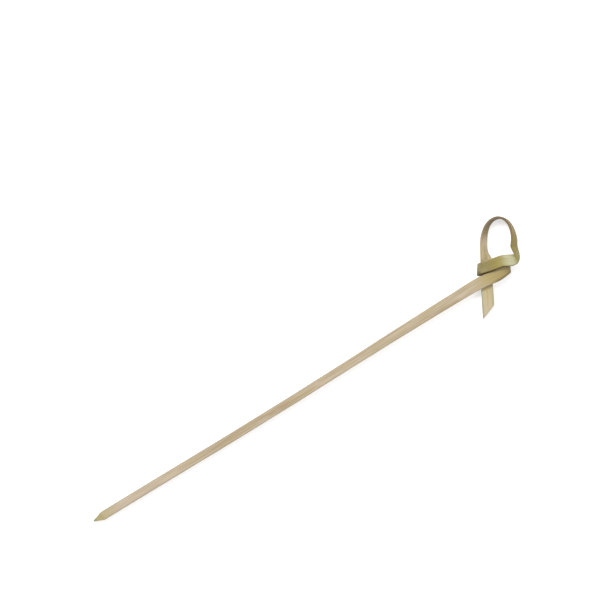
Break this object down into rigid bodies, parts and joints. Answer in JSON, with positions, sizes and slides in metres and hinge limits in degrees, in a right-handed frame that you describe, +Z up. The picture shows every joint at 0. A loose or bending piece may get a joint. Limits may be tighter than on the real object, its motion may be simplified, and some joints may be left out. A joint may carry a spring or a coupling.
{
  "type": "bamboo pick",
  "caption": "Slender bamboo food pick with a cut point and a flat end tied in an overhand knot with one open eye.",
  "frame": {"origin": "middle of the box round the pick as it lies, on the surface it lies on", "axes": "+X along the shaft from the point to the knot, +Z up with the knot's front uppermost"},
  "size_m": [0.1496, 0.024, 0.0051],
  "materials": {
    "bamboo": "split bamboo, satin, with the greener skin side on the knot"
  },
  "bodies": {
    "root": {"bamboo_pick": "bamboo"}
  },
  "joints": []
}
